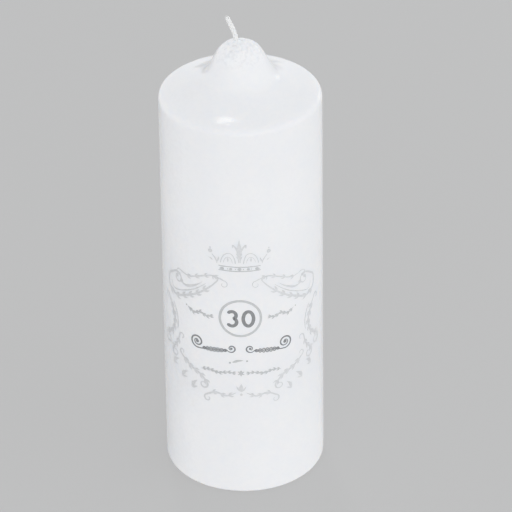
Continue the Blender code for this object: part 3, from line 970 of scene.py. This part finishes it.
def coat_wax():
    """White dipped wax: soft gloss, light that sinks in, cloudy mottling, dip lines, a painted brightening
    of the foot, and painted glints on the nub.
    """
    wax = Shader("dipped_wax")
    clouds = wax.noise(38.0, 4.0, 0.55, wax.stretched((1.0, 1.0, 0.55)))
    colour = wax.ramp(clouds, [(0.30, (0.835, 0.838, 0.850)), (0.70, (0.880, 0.880, 0.888))])
    flecks = wax.ramp(wax.noise(520.0, 2.0, 0.6), [(0.30, grey(0.97)), (0.62, grey(1.0))])
    dips = wax.ramp(wax.noise(22.0, 1.0, 0.4, wax.stretched((0.05, 0.05, 1.0))),
                    [(0.38, (0.975, 0.975, 0.978)), (0.60, grey(1.0))])
    height = wax.scaled(wax.height_axis(), 0.0, 1.0 / RAMP_HEIGHT)
    # painted light: the lowest part of the wall is given a colour lighter than white, standing in for light
    # thrown up from the floor
    foot = wax.ramp(height, [(0.0, grey(1.06)), (0.045 / RAMP_HEIGHT, grey(1.0))])
    body = wax.multiply(wax.multiply(wax.multiply(colour, flecks), dips), foot)
    # painted glints: flecks lighter than white stand in for sparkling highlights on the nub, with some
    # darker mottle between them
    nub_painted_glints = wax.ramp(wax.noise(640.0, 2.0, 0.6),
                     [(0.36, (0.88, 0.88, 0.885)), (0.48, grey(1.0)), (0.60, grey(1.10))])
    # the painted glints are only laid on the nub
    nub_glint_mask = wax.ramp(height, [(0.217 / RAMP_HEIGHT, grey(0.0)), (0.22125 / RAMP_HEIGHT, grey(1.0))])
    wax.set("Base Color", wax.multiply(body, nub_painted_glints, nub_glint_mask))
    wax.set("Subsurface Weight", 0.85)
    wax.set("Subsurface Radius", (1.0, 0.92, 0.84))
    wax.set("Subsurface Scale", 0.0009)
    wax.set("IOR", 1.44)
    wax.set("Roughness", wax.scaled(wax.noise(60.0, 3.0), 0.07, 0.24))
    skin = wax.bump(wax.noise(160.0, 2.0), 0.00006)
    wax.set("Normal", wax.bump(wax.noise(900.0, 3.0, 0.6), 0.00002, 0.6, skin))
    return wax.material


def core_wax():
    """Pressed wax beads: matt, creamy, with cell borders."""
    wax = Shader("pressed_wax")
    cells = wax.voronoi(520.0)
    colour = wax.ramp(cells, [(0.0, (0.80, 0.79, 0.75)), (0.55, (0.86, 0.85, 0.82)),
                              (1.0, (0.74, 0.73, 0.69))])
    cloud = wax.ramp(wax.noise(120.0, 3.0), [(0.3, (0.94, 0.94, 0.93)), (0.7, grey(1.0))])
    wax.set("Base Color", wax.multiply(colour, cloud))
    wax.set("Subsurface Weight", 0.4)
    wax.set("Subsurface Radius", (1.0, 0.9, 0.8))
    wax.set("Subsurface Scale", 0.0008)
    wax.set("Roughness", 0.68)
    wax.set("Normal", wax.bump(cells, 0.0002, 0.7, wax.bump(wax.noise(1500.0, 3.0), 0.00004)))
    return wax.material


def cotton():
    """Waxed cotton: twisted plies in each strand and short fibres."""
    thread = Shader("waxed_cotton")
    plies = thread.noise(2600.0, 3.0, 0.6, thread.stretched((1.0, 1.0, 0.25)))
    colour = thread.ramp(plies, [(0.25, (0.74, 0.73, 0.71)), (0.65, (0.88, 0.88, 0.87))])
    thread.set("Base Color", colour)
    thread.set("Subsurface Weight", 0.5)
    thread.set("Subsurface Radius", (1.0, 0.95, 0.9))
    thread.set("Subsurface Scale", 0.0005)
    thread.set("Roughness", thread.scaled(plies, 0.45, 0.80))
    thread.set("Sheen Weight", 0.25)
    thread.set("Normal", thread.bump(plies, 0.00005, 0.9))
    return thread.material


def clip_steel():
    """Tin-plated sheet with rolling marks and a little handling dullness."""
    steel = Shader("tinned_sheet")
    rolled = steel.noise(420.0, 4.0, 0.6, steel.stretched((0.06, 1.0, 1.0)))
    steel.set("Base Color", steel.ramp(rolled, [(0.3, (0.50, 0.50, 0.51)), (0.7, (0.68, 0.68, 0.69))]))
    steel.set("Metallic", 1.0)
    steel.set("Roughness", steel.scaled(steel.noise(150.0, 3.0), 0.12, 0.58))
    steel.set("Normal", steel.bump(rolled, 0.00002, 0.5))
    return steel.material


def ink(name, thin, full):
    """Transfer ink: a slightly uneven film whose tone shifts where it is thin."""
    film = Shader(name)
    spread = film.noise(900.0, 3.0, 0.65)
    film.set("Base Color", film.ramp(spread, [(0.32, thin), (0.62, full)]))
    film.set("Roughness", film.scaled(film.noise(300.0, 2.0), 0.30, 0.62))
    film.set("IOR", 1.45)
    film.set("Normal", film.bump(film.noise(1400.0, 2.0), 0.00001, 0.5))
    return film.material


def floor_paper():
    """Pale opal table, lit a little from below, with a hardly visible tooth."""
    paper = Shader("opal_table")
    tones = [(0.3, grey(0.98 * FLOOR_TONE)), (0.7, grey(1.02 * FLOOR_TONE))]
    paper.set("Base Color", paper.ramp(paper.noise(900.0, 3.0), tones))
    paper.set("Emission Color", (1.0, 1.0, 1.0, 1.0))
    paper.set("Emission Strength", FLOOR_GLOW)
    paper.set("Roughness", 0.9)
    paper.set("Specular IOR Level", 0.0)
    paper.set("Normal", paper.bump(paper.noise(1800.0, 2.0), 0.00003, 0.3))
    return paper.material


# -------------------- studio

ROOM_COLOUR = (0.965, 0.98, 1.0, 1.0)
ROOM_HORIZON, ROOM_OVERHEAD = 1.66, 0.43
ROOM_SIDE = 0.05                        # added towards the viewer's right, taken away on the left
FRONT_STRENGTH, RIGHT_STRENGTH = 0.55, 0.52
FILL_POWER = 0.6
SPARKLE_POWER, RIM_POWER = 2.4, 1.0
BROAD_ANGLE = 60.0                      # degrees across which a broad light spreads
LOW_FILL_AIM = Vector((0.0, 0.0, 10.0 * MM))
SPARKLE_AIM = Vector((-6.6 * MM, -29.8 * MM, 203.3 * MM))
RIM_AIM = Vector((8.0 * MM, -2.0 * MM, 223.0 * MM))
FLOOR_GLOW, FLOOR_TONE = 0.415, 0.145

CAMERA_ELEVATION = math.radians(32.81)  # of the camera's place, seen from the point it stands over
CAMERA_PITCH = math.radians(32.61)      # how far the lens looks down
CAMERA_DISTANCE = 1522.6 * MM
CAMERA_SIDE, CAMERA_HEIGHT = 6.3 * MM, 96.6 * MM
CAMERA_LENS = 224.7
CAMERA_RISE = 0.0276                    # vertical lens shift, share of the picture
CAMERA_ROLL = math.radians(-0.69)


def build_camera():
    data = bpy.data.cameras.new("studio_camera")
    data.lens = CAMERA_LENS
    data.sensor_width = 36.0
    data.shift_y = CAMERA_RISE
    data.clip_start, data.clip_end = 0.05, 20.0
    camera = bpy.data.objects.new("studio_camera", data)
    aim = Vector((CAMERA_SIDE, 0.0, CAMERA_HEIGHT))
    back = Vector((0.0, -math.cos(CAMERA_ELEVATION), math.sin(CAMERA_ELEVATION)))
    camera.location = aim + back * CAMERA_DISTANCE
    camera.rotation_euler = (math.pi / 2 - CAMERA_PITCH, 0.0, 0.0)
    bpy.context.scene.collection.objects.link(camera)
    bpy.context.view_layer.update()
    camera.rotation_euler.rotate_axis("Z", CAMERA_ROLL)
    bpy.context.scene.camera = camera


def light_direction(azimuth_deg, elevation_deg):
    """Azimuth 0 is in front of the print, plus is to the viewer's right."""
    a, e = math.radians(azimuth_deg), math.radians(elevation_deg)
    return Vector((math.sin(a) * math.cos(e), -math.cos(a) * math.cos(e), math.sin(e)))


def add_sun(name, azimuth_deg, elevation_deg, strength, angle_deg, colour):
    """A far soft light."""
    data = bpy.data.lights.new(name, "SUN")
    data.energy = strength
    data.angle = math.radians(angle_deg)
    data.color = colour
    light = bpy.data.objects.new(name, data)
    towards = light_direction(azimuth_deg, elevation_deg)
    light.rotation_euler = towards.to_track_quat("Z", "Y").to_euler()
    light.location = towards * 2.0
    bpy.context.scene.collection.objects.link(light)


def add_lamp(name, azimuth_deg, elevation_deg, distance, size, power, aim):
    """A square soft box that faces a point of the candle."""
    data = bpy.data.lights.new(name, "AREA")
    data.size = size
    data.energy = power
    light = bpy.data.objects.new(name, data)
    towards = light_direction(azimuth_deg, elevation_deg)
    light.location = aim + towards * distance
    light.rotation_euler = towards.to_track_quat("Z", "Y").to_euler()
    light.visible_camera = False
    bpy.context.scene.collection.objects.link(light)


def build_room():
    """Even light from all round, weaker overhead than near the horizon."""
    world = bpy.data.worlds.new("soft_room")
    world.use_nodes = True
    nodes, links = world.node_tree.nodes, world.node_tree.links
    background = nodes["Background"]
    background.inputs["Color"].default_value = ROOM_COLOUR
    split = nodes.new("ShaderNodeSeparateXYZ")
    links.new(nodes.new("ShaderNodeTexCoord").outputs["Generated"], split.inputs["Vector"])
    strength = nodes.new("ShaderNodeMath")
    strength.operation = "MULTIPLY_ADD"
    links.new(split.outputs["Z"], strength.inputs[0])
    strength.inputs[1].default_value = ROOM_OVERHEAD - ROOM_HORIZON
    strength.inputs[2].default_value = ROOM_HORIZON
    sideways = nodes.new("ShaderNodeMath")
    sideways.operation = "MULTIPLY_ADD"
    links.new(split.outputs["X"], sideways.inputs[0])
    sideways.inputs[1].default_value = ROOM_SIDE
    links.new(strength.outputs[0], sideways.inputs[2])
    links.new(sideways.outputs[0], background.inputs["Strength"])
    bpy.context.scene.world = world


def build_floor():
    half = 4.0
    mesh = bpy.data.meshes.new("paper_floor")
    mesh.from_pydata([(-half, -half, 0.0), (half, -half, 0.0), (half, half, 0.0), (-half, half, 0.0)], [],
                     [(0, 1, 2, 3)])
    mesh.materials.append(floor_paper())
    floor = bpy.data.objects.new("paper_floor", mesh)
    floor.location.z = -0.05 * MM
    bpy.context.scene.collection.objects.link(floor)


def build_studio():
    """Two broad lights, a low fill for the foot, and two small lamps for the glints on dome and nub."""
    bpy.context.scene.view_settings.view_transform = "Khronos PBR Neutral"
    build_room()
    build_floor()
    add_sun("front", 0.0, 20.0, FRONT_STRENGTH, BROAD_ANGLE, (1.0, 1.0, 1.0))
    add_sun("right", 65.0, 20.0, RIGHT_STRENGTH, BROAD_ANGLE, (0.95, 0.98, 1.0))
    add_lamp("low_fill", 4.0, 9.0, 0.7, 0.35, FILL_POWER, LOW_FILL_AIM)
    add_lamp("sparkle", -170.5, 60.5, 1.6, 0.12, SPARKLE_POWER, SPARKLE_AIM)
    add_lamp("rim", 140.0, 8.0, 1.2, 0.25, RIM_POWER, RIM_AIM)
    build_camera()


# -------------------- the candle

def build_candle():
    build_coat(coat_wax())
    build_core(core_wax())
    build_clip(clip_steel())
    build_wick(cotton())
    dark = ink("dark_ink", (0.285, 0.29, 0.295), (0.235, 0.24, 0.245))
    middle_tone = ink("middle_ink", (0.55, 0.555, 0.56), (0.49, 0.495, 0.50))
    pale = ink("pale_ink", (0.66, 0.663, 0.67), (0.60, 0.603, 0.61))
    print_number(dark, middle_tone)
    print_flourishes(dark)
    print_small_lines(middle_tone)
    print_crown(pale, middle_tone)
    print_frame(pale)


build_candle()
build_studio()
